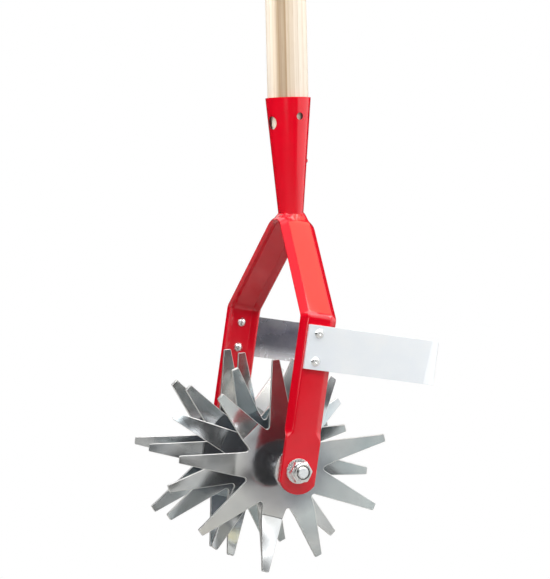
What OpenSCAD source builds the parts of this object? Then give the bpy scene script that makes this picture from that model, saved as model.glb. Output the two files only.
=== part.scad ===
// Rotary hand cultivator: a forked head with four star wheels, a hooped weeding blade and a wooden handle.
// Millimetres. The origin is on the handle's axis at the mouth of its socket. +Z runs up the handle,
// +X points to the blade, and Y runs along the axle with the nut at the -Y end.

/* [Handle] */
// Diameter of the wooden handle
handle_d = 28; // [24:0.5:34]
// Length of handle that stands out of the socket
handle_len = 1200; // [400:10:1600]
// Rounding of the handle's top end
handle_end_r = 9; // [3:0.5:11]
// Gap all round between the handle's taper and the socket
handle_gap = 0.05; // [0.02:0.01:0.2]
// Space between the handle's lower end and the socket's lower end
handle_toe = 10; // [6:1:20]

/* [Socket] */
// Length of the conical socket, measured along the handle's axis
socket_len = 80.5; // [60:0.5:110]
// Thickness of the socket's sheet
socket_wall = 1.5; // [0.8:0.1:2]
// Outside diameter of the socket's lower end
socket_base_d = 17; // [15:0.2:19]
// Diameter of the front screw hole
screw_hole_d = 5; // [3:0.2:7]
// Depth of the front screw hole below the socket's mouth
screw_hole_drop = 13; // [8:0.5:25]
// Direction of the front screw hole round the handle
screw_hole_turn = -78; // [-120:1:-50]
// Diameter of the side hole
side_hole_d = 9; // [5:0.2:11]
// Depth of the side hole below the socket's mouth
side_hole_drop = 17; // [10:0.5:30]
// Direction of the side hole round the handle
side_hole_turn = -165; // [-200:1:-140]
// Height of the weld drop above the socket's lower end
drop_h = 37.5; // [20:0.5:55]
// Radius of the weld drop on the socket's side
drop_r = 2; // [1.2:0.1:2.5]
// Direction of the weld drop round the handle
drop_turn = -8; // [-20:1:20]
// Width of the weld bead between the socket and the fork
weld_leg = 3; // [1:0.1:3.4]

/* [Fork] */
// Width of the fork over the outside of its arms
fork_span = 152; // [142:1:180]
// Thickness of the fork's sheet
fork_t = 3; // [2:0.1:3.2]
// Width of the channel section over its turned-in sides
fork_w = 25.8; // [24:0.2:28]
// Width of the channel's flat web
web_w = 15.8; // [14:0.2:17]
// Slope of the channel's turned-in sides against its web
side_slope = 36.5; // [30:0.5:42]
// Height of the crown above the axle, along the fork
crown_h = 167.5; // [155:0.5:180]
// Outer radius of the crown
crown_r = 22; // [17:0.5:26]
// Height of the arms' bend above the blade's upper edge, along the fork
arm_bend_rise = 6.5; // [3:0.5:12]
// Outer radius of the arms' bend
arm_bend_r = 8; // [7.5:0.5:14]
// Lean of the fork against the handle
fork_lean = 10; // [0:0.5:15]
// Distance of the arms' middle in front of the axle
arm_shift = 1; // [0:0.1:2]
// Distance of the crown's middle in front of the handle's axis
crown_shift = 1.5; // [0:0.1:2]
// Width of the flat lug that carries the axle
lug_w = 24.5; // [22:0.5:26]
// Radius of the lug's rounded end
lug_end_r = 14; // [13:0.5:16]
// Distance of the lug's rounding centre below the axle
lug_drop = 1.5; // [0:0.5:3]
// Height above the axle where the turned-in sides run out
side_end_h = 23; // [20:0.5:28]
// Height over which the lug's shoulders narrow to the web
shoulder_h = 6; // [4:0.5:9]

/* [Blade] */
// Width of the blade strip
blade_w = 29; // [24:0.5:32]
// Thickness of the blade strip
blade_t = 2; // [1.5:0.1:3]
// Height of the blade's lower edge above the axle, along the fork
blade_h = 66.5; // [60:0.5:70]
// Reach of the blade in front of the arms' middle
blade_reach = 88.6; // [75:0.2:110]
// Length of the blade's ends behind the arms' middle
blade_tail = 7.6; // [5:0.2:10]
// Outer radius of the blade's two corners
blade_bend_r = 8; // [4:0.5:14]
// Width of the ground edges along the front of the blade
edge_grind = 5; // [3:0.5:8]
// Thickness left at the ground edges
edge_left_t = 0.6; // [0.4:0.1:1]

/* [Rivets] */
// Diameter of the rivet heads
rivet_head_d = 6.6; // [5.5:0.1:8]
// Height of the rivet heads
rivet_head_h = 2; // [1:0.1:2.4]
// Diameter of the rivet shanks
rivet_d = 4; // [3:0.1:5]
// Distance of the rivets from the blade's long edges
rivet_inset = 5.4; // [4.5:0.1:8]
// Gap all round between a rivet's shank and its hole
rivet_gap = 0.05; // [0.02:0.01:0.2]

/* [Axle] */
// Diameter of the axle bolt
bolt_d = 8; // [6:0.5:10]
// Gap all round between the bolt and the lugs, washers and spacers
bolt_gap = 0.2; // [0.1:0.05:0.4]
// Gap all round between the bolt and the star wheels that run on it
star_gap = 0.08; // [0.03:0.01:0.1]
// Width across the flats of nut and bolt head
hex_af = 13; // [12:0.5:17]
// Height of the bolt head
head_h = 5.3; // [4:0.1:7]
// Height of the lock nut's hexagon
nut_hex_h = 6; // [5:0.1:8]
// Height of the lock nut's round collar
nut_collar_h = 2.2; // [1.5:0.1:3]
// Length of bolt that stands out of the nut
bolt_out = 0.6; // [0.3:0.1:4]
// Outside diameter of the washers under nut and bolt head
washer_d = 16.4; // [16:0.2:20]
// Thickness of the washers under nut and bolt head
washer_t = 1.6; // [1:0.1:2.5]
// Outside diameter of the thrust washers inside the lugs
thrust_d = 29; // [20:0.5:30]
// Thickness of the thrust washers
thrust_t = 3; // [1.5:0.1:3.5]
// Outside diameter of the spacers
spacer_d = 13.5; // [12:0.1:18]
// Play between a star wheel and the spacer beside it
star_play = 0.3; // [0.2:0.05:0.6]

/* [Star wheels] */
// Distance between neighbouring star wheels
star_pitch = 34; // [32:0.5:36]
// Thickness of the star wheels' sheet
star_t = 2; // [1.5:0.1:3]
// Radius over the straight tines
star_r = 71.3; // [60:0.5:76]
// Radius to the bottom of the notches between the tines
notch_r = 28; // [22:0.5:31]
// Rounding at the bottom of the notches
notch_round = 1.8; // [1:0.1:3]
// Width of a tine at its tip
tine_tip_w = 5; // [3:0.2:8]
// Radius at which the tines start to bend
bend_r = 33.5; // [32.5:0.1:40]
// Angle of the bent tines
bend_angle = 19.5; // [5:0.5:21]
// Inner radius of the tines' bends
bend_inner_r = 3; // [2:0.5:6]
// Direction of a straight tine on the first star wheel, beside the nut
star_1_turn = -26.6; // [-60:0.1:60]
// Direction of a straight tine on the second star wheel
star_2_turn = -48.6; // [-60:0.1:60]
// Direction of a straight tine on the third star wheel
star_3_turn = -26.9; // [-60:0.1:60]
// Direction of a straight tine on the fourth star wheel
star_4_turn = -27.9; // [-60:0.1:60]

/* [Hidden] */
$fn = 96;

wood = "burlywood";
paint = "crimson";
zinc = "silver";
ring_plastic = "darkslategray";

// Cone of the socket: inside and outside radii at its mouth, and at its lower end
mouth_in_r = handle_d / 2 + handle_gap;
mouth_out_r = mouth_in_r + socket_wall;
base_out_r = socket_base_d / 2;
base_in_r = base_out_r - socket_wall;
// Shrink of the cone's radius for each millimetre down the handle's axis
cone_slope = (mouth_out_r - base_out_r) / socket_len;
function cone_out_r(drop) = mouth_out_r - cone_slope * drop;
function cone_in_r(drop) = mouth_in_r - (mouth_in_r - base_in_r) / socket_len * drop;
// Length that the cone runs past its base, before the crown's shape is cut out of it
cope = crown_r / 2;

// Blade strip: its upper edge, and the heights of its rivets
blade_top_h = blade_h + blade_w;
rivet_upper_h = blade_top_h - rivet_inset;
rivet_lower_h = blade_h + rivet_inset;
rivet_hole_r = rivet_d / 2 + rivet_gap;

// Place of the axle, so that the crown's top lies under the socket
axle_x = crown_shift - crown_h * sin(fork_lean) - arm_shift * cos(fork_lean);
axle_z = -socket_len - crown_h * cos(fork_lean) + arm_shift * sin(fork_lean);
half_span = fork_span / 2;
// Turned-in side of the channel: its length from the crease, and the depth from web to free edge
side_len = (fork_w - web_w) / 2 / cos(side_slope);
side_depth = side_len * sin(side_slope) + fork_t * cos(side_slope);
// Height of the arms' bend above the axle, along the fork
arm_bend_h = blade_top_h + arm_bend_rise;
// Centre of the crown's arc, and the slope of the slanted arms that run off it
crown_c = crown_h - crown_r;
slant_run = norm([half_span, crown_c - arm_bend_h]);
slant = atan2(crown_c - arm_bend_h, half_span) + asin(crown_r / slant_run);
// Turn of the arm's bend, and the length that it takes off the lines on each side
arm_turn = 90 - slant;
arm_setback = arm_bend_r * tan(arm_turn / 2);
slant_len = slant_run * cos(asin(crown_r / slant_run)) - arm_setback;
arm_top_h = arm_bend_h - arm_setback;
lug_hole_r = bolt_d / 2 + bolt_gap;
// Distance that a hole's cutter stands out of the piece that it cuts
overcut = 1;
// Swelling of the sheet at a bend, and the turn by which a bend laps over the straight beside it
swell = 0.03;
lap_turn = 1.5;

// Stack on the bolt, as distances from the fork's middle
lug_in_y = half_span - fork_t;
thrust_in_y = lug_in_y - thrust_t;
nut_y = half_span + washer_t;
bolt_end_y = nut_y + nut_hex_h + nut_collar_h + bolt_out;
outer_star_y = star_pitch * 1.5;
end_spacer_len = thrust_in_y - outer_star_y - star_t / 2 - star_play;
spacer_len = star_pitch - star_t - 2 * star_play;
// Round part inside the lock nut's collar: its wall, the lip over the ring, and the ring
collar_r = hex_af * 0.45;
collar_wall = 0.9;
collar_lip = 0.5;
ring_out_r = collar_r - collar_wall;
ring_h = nut_collar_h - collar_lip;

// Star wheel: tines, their pitch, and the radius to the tips of the bent ones
tines = 9;
tine_pitch = 360 / tines;
bend_mid_r = bend_inner_r + star_t / 2;
bent_len = star_r - bend_r - bend_mid_r * bend_angle * PI / 180;
bent_tip_r = bend_r + bend_mid_r * sin(bend_angle) + bent_len * cos(bend_angle);
// Notch: centre of its rounding
notch_c = notch_r + notch_round;

// Moves its children from the axle's own place to the place in the tool, upright as the handle
module on_axle() {
  translate([axle_x, 0, axle_z]) children();
}

// As on_axle, then leans them with the fork and moves them to the arms' middle
module in_fork() {
  on_axle() rotate([0, fork_lean, 0]) translate([arm_shift, 0, 0]) children();
}

// Turns a shape drawn round Z so that it stands round the axle, with its own +Z towards the nut
module round_axle() {
  on_axle() rotate([90, 0, 0]) children();
}

// Slab of width w and depth h with its two front corners rounded
module rounded_slab(w, h, r) {
  translate([-w / 2, r]) square([w, h - r]);
  translate([r - w / 2, 0]) square([w - 2 * r, h]);
  for (side = [-1, 1]) translate([side * (w / 2 - r), r]) circle(r);
}

// Corner between web and side, at a depth below the sheet's outer face
function crease(depth) = [web_w / 2 - depth * tan(side_slope / 2), depth];

// Point on the side at a depth below the sheet's outer face, a length away from the outer crease
function on_side(depth, len) =
  [web_w / 2 + len * cos(side_slope) - depth * sin(side_slope), len * sin(side_slope) + depth * cos(side_slope)];

// Closed outline from the points of its right half
module both_halves(right) {
  polygon(concat(right, [for (i = [len(right) - 1:-1:0]) [-right[i][0], right[i][1]]]));
}

// Section of the fork's channel, with its outer face on the X axis, grown on every side by extra
module channel_section(extra = 0) {
  inner = fork_t + extra;
  end = side_len + extra;
  both_halves([crease(-extra), on_side(-extra, end), on_side(inner, end), crease(inner)]);
}

// Section of the bent channel with its hollow filled
module channel_envelope() {
  rim = on_side(-swell, side_len + swell);
  both_halves([crease(-swell), rim, [rim[0], crown_r]]);
}

// Bends a section about a line across the fork, from the near arm's outer face upwards,
// with a lap at each end
module bend_section(r, turn) {
  rotate([lap_turn, 0, 0]) rotate([90, 0, -90]) rotate_extrude(angle = turn + 2 * lap_turn)
    translate([r, 0]) rotate(90) children();
}

// Arc of the crown, with any section
module crown_arc() {
  translate([0, 0, crown_c]) rotate([-arm_turn, 0, 0]) bend_section(crown_r, 2 * slant) children();
}

// Moves its children to the near arm's bend, with the middle of the bend's arc at their centre
module at_arm_bend() {
  translate([0, arm_bend_r - half_span, arm_top_h]) children();
}

// Slanted part of the near arm, with any section
module slanted_arm() {
  at_arm_bend() rotate([-arm_turn, 0, 0]) translate([0, -arm_bend_r, 0])
    linear_extrude(slant_len) children();
}

// Near half of the fork's channel below the crown
module fork_half() {
  translate([0, -half_span, side_end_h - fork_t])
    linear_extrude(arm_top_h - side_end_h + fork_t) channel_section();
  at_arm_bend() bend_section(arm_bend_r, arm_turn) channel_section(swell);
  slanted_arm() channel_section();
}

// Space that the head of the fork takes up, with its hollow filled
module head_envelope() {
  crown_arc() channel_envelope();
  for (side = [0, 1]) mirror([0, side, 0]) slanted_arm() channel_envelope();
}

// Outline of a lug, seen along the axle
module lug_outline() {
  top = side_end_h + shoulder_h / 2;
  both_halves([[web_w / 2, top], [lug_w / 2, top - shoulder_h], [lug_w / 2, -lug_drop]]);
  intersection() {
    translate([0, -lug_drop]) circle(lug_end_r);
    translate([-lug_w / 2, -lug_drop - lug_end_r]) square([lug_w, lug_end_r]);
  }
}

// Round bar across the whole fork, along the axle
module cross_bar(r) {
  rotate([90, 0, 0]) cylinder(h = fork_span + 8 * blade_t, r = r, center = true);
}

module fork() {
  runout_r = 1.5 * (side_depth - fork_t);
  color(paint) in_fork() difference() {
    union() {
      crown_arc() channel_section(swell);
      for (side = [0, 1]) mirror([0, side, 0]) {
        fork_half();
        translate([0, fork_t - half_span, 0]) rotate([90, 0, 0]) linear_extrude(fork_t) lug_outline();
      }
    }
    for (side = [-1, 1])
      translate([0, side * (lug_in_y - swell - runout_r), side_end_h])
        rotate([0, 90, 0]) cylinder(h = 2 * fork_w, r = runout_r, center = true);
    translate([-arm_shift, 0, 0]) cross_bar(lug_hole_r);
    for (h = [rivet_lower_h, rivet_upper_h]) translate([0, 0, h]) cross_bar(rivet_hole_r);
  }
}

// Cone of the socket, from its mouth down past its base
module socket_cone(mouth_r, end_r) {
  translate([0, 0, -socket_len - cope]) cylinder(h = socket_len + cope, r1 = end_r, r2 = mouth_r);
}

// Drop of weld on the side of the socket
module weld_drop() {
  rotate(drop_turn) translate([cone_out_r(socket_len - drop_h) - drop_r / 2, 0, drop_h - socket_len])
    sphere(drop_r);
}

module handle_socket() {
  color(paint) difference() {
    union() {
      socket_cone(mouth_out_r, cone_out_r(socket_len + cope));
      weld_drop();
    }
    socket_cone(mouth_in_r, cone_in_r(socket_len + cope));
    rotate(screw_hole_turn) translate([0, 0, -screw_hole_drop])
      rotate([0, 90, 0]) cylinder(h = handle_d, d = screw_hole_d);
    rotate(side_hole_turn) translate([0, 0, -side_hole_drop])
      rotate([0, 90, 0]) cylinder(h = handle_d, d = side_hole_d);
    in_fork() head_envelope();
  }
}

module socket_weld() {
  toe_r = base_out_r + weld_leg;
  color(paint) difference() {
    translate([0, 0, -socket_len - weld_leg])
      cylinder(h = 2 * weld_leg, r1 = toe_r, r2 = cone_out_r(socket_len - weld_leg));
    socket_cone(mouth_out_r, cone_out_r(socket_len + cope));
    in_fork() head_envelope();
  }
}

module handle() {
  r = handle_d / 2;
  taper_len = socket_len - handle_toe;
  color(wood) {
    rotate_extrude() {
      square([r, handle_len - handle_end_r]);
      square([r - handle_end_r, handle_len]);
      translate([r - handle_end_r, handle_len - handle_end_r]) intersection() {
        circle(handle_end_r);
        square(handle_end_r);
      }
    }
    translate([0, 0, -taper_len])
      cylinder(h = taper_len, r1 = cone_in_r(taper_len) - handle_gap, r2 = r);
  }
}

module weeding_blade() {
  out_w = fork_span + 2 * blade_t;
  len = blade_reach + blade_tail;
  color(zinc) in_fork() difference() {
    translate([blade_reach, 0, blade_h]) linear_extrude(blade_w) rotate(90) difference() {
      rounded_slab(out_w, len, blade_bend_r);
      translate([0, blade_t]) rounded_slab(fork_span, len, blade_bend_r - blade_t);
    }
    for (edge = [0, 1])
      translate([blade_reach, 0, edge ? blade_top_h : blade_h]) mirror([0, 0, edge]) rotate([90, 0, 0])
        linear_extrude(out_w - 2 * blade_bend_r, center = true)
          polygon([[blade_t, 0], [edge_left_t - blade_t, 0], [0, edge_grind], [blade_t, edge_grind]]);
    for (h = [rivet_lower_h, rivet_upper_h]) translate([0, 0, h]) cross_bar(rivet_hole_r);
  }
}

// Domed rivet head, standing on the XY plane
module rivet_head() {
  ball_r = (rivet_head_d * rivet_head_d / 4 + rivet_head_h * rivet_head_h) / (2 * rivet_head_h);
  rotate_extrude() intersection() {
    translate([0, rivet_head_h - ball_r]) circle(ball_r);
    square([rivet_head_d, rivet_head_h]);
  }
}

// Rivet through the blade and one arm: side is -1 on the near arm and 1 on the far arm
module rivet(side, h) {
  grip = fork_t + blade_t;
  color(zinc) in_fork() translate([0, side * lug_in_y, h]) rotate([-90 * side, 0, 0]) {
    cylinder(h = grip, d = rivet_d);
    translate([0, 0, grip]) rivet_head();
    mirror([0, 0, 1]) rivet_head();
  }
}

// Hexagon with the upper rim of its corners turned down
module hexagon(h) {
  corner = hex_af / cos(30);
  turned = (corner - hex_af) / 3;
  intersection() {
    cylinder(h = h, d = corner, $fn = 6);
    union() {
      cylinder(h = h - turned, d = corner);
      translate([0, 0, h - turned]) cylinder(h = turned, d1 = corner, d2 = hex_af * 0.98);
    }
  }
}

// Ring round the axle, from one distance along it to another, measured towards the nut
module axle_ring(from, to, out_r, in_r) {
  round_axle() translate([0, 0, from]) difference() {
    cylinder(h = to - from, r = out_r);
    translate([0, 0, -overcut]) cylinder(h = to - from + 2 * overcut, r = in_r);
  }
}

module axle_bolt() {
  color(zinc) round_axle() {
    end_chamfer = bolt_d / 10;
    translate([0, 0, -nut_y]) {
      cylinder(h = nut_y + bolt_end_y - end_chamfer, d = bolt_d);
      mirror([0, 0, 1]) hexagon(head_h);
    }
    translate([0, 0, bolt_end_y - end_chamfer])
      cylinder(h = end_chamfer, d1 = bolt_d, d2 = bolt_d - 2 * end_chamfer);
  }
}

module lock_nut() {
  in_r = bolt_d / 2 + star_gap;
  collar_top = nut_hex_h + nut_collar_h;
  lip_in_r = (ring_out_r + in_r) / 2;
  color(zinc) round_axle() translate([0, 0, nut_y]) difference() {
    union() {
      hexagon(nut_hex_h);
      cylinder(h = collar_top - collar_lip, r = collar_r);
      translate([0, 0, collar_top - collar_lip])
        cylinder(h = collar_lip, r1 = collar_r, r2 = collar_r - collar_lip);
    }
    translate([0, 0, -overcut]) cylinder(h = nut_hex_h + 2 * overcut, r = in_r);
    translate([0, 0, nut_hex_h]) cylinder(h = ring_h, r = ring_out_r);
    translate([0, 0, nut_hex_h]) cylinder(h = nut_collar_h + overcut, r = lip_in_r);
  }
}

module lock_ring() {
  ring_y = nut_y + nut_hex_h;
  color(ring_plastic) axle_ring(ring_y, ring_y + ring_h, ring_out_r, bolt_d / 2 + star_gap);
}

module nut_washer() {
  color(zinc) axle_ring(half_span, nut_y, washer_d / 2, lug_hole_r);
}

module head_washer() {
  color(zinc) axle_ring(-nut_y, -half_span, washer_d / 2, lug_hole_r);
}

module thrust_washer_near() {
  color(zinc) axle_ring(thrust_in_y, lug_in_y, thrust_d / 2, lug_hole_r);
}

module thrust_washer_far() {
  color(zinc) axle_ring(-lug_in_y, -thrust_in_y, thrust_d / 2, lug_hole_r);
}

module end_spacer_near() {
  color(zinc) axle_ring(thrust_in_y - end_spacer_len, thrust_in_y, spacer_d / 2, lug_hole_r);
}

module end_spacer_far() {
  color(zinc) axle_ring(-thrust_in_y, end_spacer_len - thrust_in_y, spacer_d / 2, lug_hole_r);
}

// Spacer between two star wheels: i counts the gaps from the nut
module spacer(i) {
  mid = outer_star_y - (i - 0.5) * star_pitch;
  color(zinc) axle_ring(mid - spacer_len / 2, mid + spacer_len / 2, spacer_d / 2, lug_hole_r);
}

// Corner of a tine's tip, side is -1 or 1
function tip_corner(tip_r, side) = [tip_r, side * tine_tip_w / 2];
// Place where a tine's edge runs into the rounding of the notch beside it
function notch_touch(tip_r, side) =
  let (c = notch_c * [cos(tine_pitch / 2), side * sin(tine_pitch / 2)],
       v = tip_corner(tip_r, side) - c,
       turn = atan2(v[1], v[0]) - side * acos(notch_round / norm(v)))
  c + notch_round * [cos(turn), sin(turn)];

// Outline of a tine that points along +X, from the wheel's centre to a tip radius,
// wider by extra on each side
module tine_outline(tip_r, extra = 0) {
  polygon([[0, 0],
           notch_touch(tip_r, -1) - [0, extra],
           tip_corner(tip_r, -1) - [0, extra],
           tip_corner(tip_r, 1) + [0, extra],
           notch_touch(tip_r, 1) + [0, extra]]);
}

// Place on a tine's edge at a distance from the wheel's centre, measured along the tine
function on_edge(tip_r, side, along) =
  let (root = notch_touch(tip_r, side), tip = tip_corner(tip_r, side))
  root + (tip - root) * (along - root[0]) / (tip[0] - root[0]);

function turned(point, turn) =
  [point[0] * cos(turn) - point[1] * sin(turn), point[0] * sin(turn) + point[1] * cos(turn)];

// Flat part of a star wheel: whole straight tines, and the others up to their bends
module flat_outline() {
  difference() {
    polygon([for (k = [0 : tines - 1])
             let (straight = k % 3 == 0,
                  tip_r = straight ? star_r : bent_tip_r,
                  end = straight ? star_r : bend_r)
             for (point = [notch_touch(tip_r, -1), on_edge(tip_r, -1, end),
                           on_edge(tip_r, 1, end), notch_touch(tip_r, 1)])
             turned(point, k * tine_pitch)]);
    // cut a hair larger, so no corner of the outline lies on a notch's circle
    for (k = [0 : tines - 1]) rotate((k + 0.5) * tine_pitch)
      translate([notch_c, 0]) circle(notch_round + swell);
  }
}

// Bent part of a tine that points along +X: its bend and its straight end, bent towards +Z
module bent_tine() {
  wide = 2 * notch_r;
  intersection() {
    translate([0, 0, -star_r]) linear_extrude(2 * star_r) intersection() {
      tine_outline(bent_tip_r, swell);
      translate([bend_r - star_t, -wide / 2]) square([star_r, wide]);
    }
    translate([bend_r, 0, bend_mid_r]) {
      rotate([0, lap_turn, 0]) rotate([90, 0, 0]) translate([0, 0, -wide / 2]) rotate(-90)
        rotate_extrude(angle = bend_angle + 2 * lap_turn)
          translate([bend_inner_r - swell, 0]) square([star_t + 2 * swell, wide]);
      rotate([0, -bend_angle, 0]) translate([0, -wide / 2, -bend_inner_r - star_t])
        cube([star_r, wide, star_t]);
    }
  }
}

// Star wheel i, counted from the nut, with a straight tine turned to the given direction
module star(i, turn) {
  y = outer_star_y - (i - 1) * star_pitch;
  color(zinc) round_axle() translate([0, 0, y]) rotate(turn) difference() {
    union() {
      translate([0, 0, -star_t / 2]) linear_extrude(star_t) flat_outline();
      for (k = [0 : tines - 1]) rotate(k * tine_pitch)
        if (k % 3 != 0) mirror([0, 0, k % 3 - 1]) bent_tine();
    }
    translate([0, 0, -star_t]) cylinder(h = 2 * star_t, r = bolt_d / 2 + star_gap);
  }
}

handle();
handle_socket();
socket_weld();
fork();
weeding_blade();
rivet(-1, rivet_upper_h);  // rivet_near_upper
rivet(-1, rivet_lower_h);  // rivet_near_lower
rivet(1, rivet_upper_h);  // rivet_far_upper
rivet(1, rivet_lower_h);  // rivet_far_lower
axle_bolt();
nut_washer();
lock_nut();
lock_ring();
head_washer();
thrust_washer_near();
thrust_washer_far();
end_spacer_near();
spacer(1);  // spacer_1_2
spacer(2);  // spacer_2_3
spacer(3);  // spacer_3_4
end_spacer_far();
star(1, star_1_turn);  // star_1
star(2, star_2_turn);  // star_2
star(3, star_3_turn);  // star_3
star(4, star_4_turn);  // star_4
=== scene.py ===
import math

import bmesh
import bpy
import numpy as np
from mathutils import Matrix, Vector
from mathutils.noise import noise as perlin


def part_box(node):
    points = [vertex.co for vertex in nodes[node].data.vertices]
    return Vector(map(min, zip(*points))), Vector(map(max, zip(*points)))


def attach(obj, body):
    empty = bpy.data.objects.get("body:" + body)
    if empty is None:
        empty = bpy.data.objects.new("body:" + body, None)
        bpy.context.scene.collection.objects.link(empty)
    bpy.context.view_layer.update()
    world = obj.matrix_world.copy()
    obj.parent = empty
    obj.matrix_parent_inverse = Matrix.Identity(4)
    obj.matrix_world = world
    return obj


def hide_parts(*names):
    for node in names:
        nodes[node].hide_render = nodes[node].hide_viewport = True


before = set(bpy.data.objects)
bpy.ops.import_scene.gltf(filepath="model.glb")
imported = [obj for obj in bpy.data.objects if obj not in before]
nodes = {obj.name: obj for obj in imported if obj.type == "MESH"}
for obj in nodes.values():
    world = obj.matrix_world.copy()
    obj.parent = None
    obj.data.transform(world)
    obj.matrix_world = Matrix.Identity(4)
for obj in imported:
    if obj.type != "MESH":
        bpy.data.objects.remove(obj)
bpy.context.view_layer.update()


# Handle: a long round stick of pale softwood, turned smooth and waxed.
# Its lower end is turned to a taper that sits in the socket, a little thinner behind the socket's holes.
# Its upper end is rounded over.
handle_r = 0.014
handle_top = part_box("handle")[1].z
handle_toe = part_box("handle")[0].z
handle_toe_r = 0.00783
handle_end_r = 0.009
toe_chamfer = 0.0008
hole_relief = 0.0005
shaft_steps = 8
end_steps = 10
handle_sides = 96
join_dist = 2e-6


def solid_from(name, verts, faces):
    """A mesh object at the origin with its faces turned outwards and doubled points joined."""
    mesh = bpy.data.meshes.new(name)
    mesh.from_pydata([tuple(v) for v in verts], [], [tuple(f) for f in faces])
    shape = bmesh.new()
    shape.from_mesh(mesh)
    bmesh.ops.remove_doubles(shape, verts=shape.verts, dist=join_dist)
    bmesh.ops.recalc_face_normals(shape, faces=shape.faces)
    shape.to_mesh(mesh)
    shape.free()
    piece = bpy.data.objects.new(name, mesh)
    bpy.context.scene.collection.objects.link(piece)
    return piece


def smooth_to(piece, degrees):
    """Smooth shading, with edges sharper than the angle left sharp."""
    piece.data.shade_smooth()
    piece.data.set_sharp_from_angle(angle=math.radians(degrees))


def turned(name, profile, sides):
    """A closed round piece from (radius, height) points that start and end on the axis."""
    verts = []
    for radius, height in profile:
        for k in range(sides):
            turn = 2 * math.pi * k / sides
            verts.append((radius * math.cos(turn), radius * math.sin(turn), height))
    faces = []
    for row in range(len(profile) - 1):
        for k in range(sides):
            here = row * sides + k
            beside = row * sides + (k + 1) % sides
            faces.append((here, beside, beside + sides, here + sides))
    return solid_from(name, verts, faces)


def material(name, color, roughness, metallic=0.0):
    """A new material: returns it with its node tree and its main shader."""
    made = bpy.data.materials.new(name)
    made.use_nodes = True
    tree = made.node_tree
    shader = tree.nodes["Principled BSDF"]
    shader.inputs["Base Color"].default_value = (*color, 1)
    shader.inputs["Roughness"].default_value = roughness
    shader.inputs["Metallic"].default_value = metallic
    return made, tree, shader


def new_node(tree, kind, settings, inputs):
    """A node with settings and inputs; an input given as a socket is linked, any other value is set."""
    node = tree.nodes.new(kind)
    for key, value in (settings or {}).items():
        setattr(node, key, value)
    for key, value in inputs.items():
        socket = node.inputs[int(key[1:])] if key[0] == "i" and key[1:].isdigit() else node.inputs[key]
        if isinstance(value, bpy.types.NodeSocket):
            tree.links.new(value, socket)
        else:
            socket.default_value = value
    return node


def add(tree, kind, settings=None, **inputs):
    """A shader node, by its kind. An input's name is its label, or i and its number."""
    return new_node(tree, "ShaderNode" + kind, settings, inputs)


def object_place(tree, scale=(1, 1, 1), place=(0, 0, 0), turn=(0, 0, 0)):
    """Object coordinates through a mapping."""
    coords = add(tree, "TexCoord")
    mapped = add(tree, "Mapping", Vector=coords.outputs["Object"])
    mapped.inputs["Scale"].default_value = scale
    mapped.inputs["Location"].default_value = place
    mapped.inputs["Rotation"].default_value = turn
    return mapped.outputs["Vector"]


def noise(tree, vector, scale, detail=3.0, roughness=0.5):
    """A noise value from 0 to 1."""
    made = add(tree, "TexNoise", Vector=vector, Scale=scale, Detail=detail, Roughness=roughness)
    return made.outputs[0]


def ramp(tree, value, stops):
    """A colour ramp through (place, colour) stops."""
    made = add(tree, "ValToRGB", i0=value)
    points = made.color_ramp.elements
    while len(points) < len(stops):
        points.new(0.5)
    for point, (place, color) in zip(points, stops):
        point.position = place
        point.color = (*color, 1)
    return made.outputs["Color"]


def blend(tree, factor, a, b, kind="MIX"):
    """Two colours mixed by a factor."""
    made = add(tree, "Mix", {"data_type": "RGBA", "blend_type": kind})
    for socket, value in ((made.inputs[0], factor), (made.inputs[6], a), (made.inputs[7], b)):
        if isinstance(value, bpy.types.NodeSocket):
            tree.links.new(value, socket)
        else:
            socket.default_value = (*value, 1) if isinstance(value, tuple) else value
    return made.outputs[2]


def span(tree, value, low, high):
    """A 0 to 1 value stretched to a range."""
    made = add(tree, "MapRange", i0=value)
    made.inputs[3].default_value = low
    made.inputs[4].default_value = high
    return made.outputs[0]


def bump(tree, shader, height, strength, distance):
    """Relief on the shader, in metres of distance."""
    made = add(tree, "Bump", Height=height, Strength=strength, Distance=distance)
    tree.links.new(made.outputs["Normal"], shader.inputs["Normal"])


wood, tree, shader = material("wood", (0.85, 0.78, 0.66), 0.5)
ring_pitch = 0.0028
ring_drift = 0.0018
pith_place = (0.056, -0.021, 0)
streak_start = 0.050
streak_end = 0.070
drift = noise(tree, object_place(tree, (14, 14, 0.8)), 1.0, 2.0)
from_pith = add(tree, "VectorMath", {"operation": "LENGTH"},
                i0=object_place(tree, (1, 1, 0), pith_place))
wander = add(tree, "Math", {"operation": "MULTIPLY_ADD"},
             i0=drift, i1=ring_drift, i2=from_pith.outputs["Value"])
rings = add(tree, "Math", {"operation": "DIVIDE"}, i0=wander.outputs[0], i1=ring_pitch)
ring = add(tree, "Math", {"operation": "FRACT"}, i0=rings.outputs[0])
year = ramp(tree, ring.outputs[0], [(0.0, (1.0, 1.0, 1.0)), (0.55, (0.97, 0.95, 0.93)),
                                    (0.88, (0.86, 0.80, 0.74)), (1.0, (1.0, 1.0, 1.0))])
across = add(tree, "MapRange", i0=wander.outputs[0])
across.inputs[1].default_value = streak_start
across.inputs[2].default_value = streak_end
streak = ramp(tree, across.outputs[0], [
    (0.0, (0.84, 0.77, 0.67)),
    (0.14, (0.80, 0.70, 0.57)),
    (0.26, (0.58, 0.47, 0.35)),
    (0.34, (0.36, 0.24, 0.13)),
    (0.39, (0.43, 0.33, 0.23)),
    (0.55, (0.44, 0.35, 0.24)),
    (0.585, (0.36, 0.23, 0.12)),
    (0.62, (0.60, 0.51, 0.39)),
    (0.76, (0.62, 0.53, 0.42)),
    (0.83, (0.68, 0.60, 0.50)),
    (1.0, (0.70, 0.64, 0.56)),
])
fibre = noise(tree, object_place(tree, (1400, 1400, 16)), 1.0, 4.0, 0.65)
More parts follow.
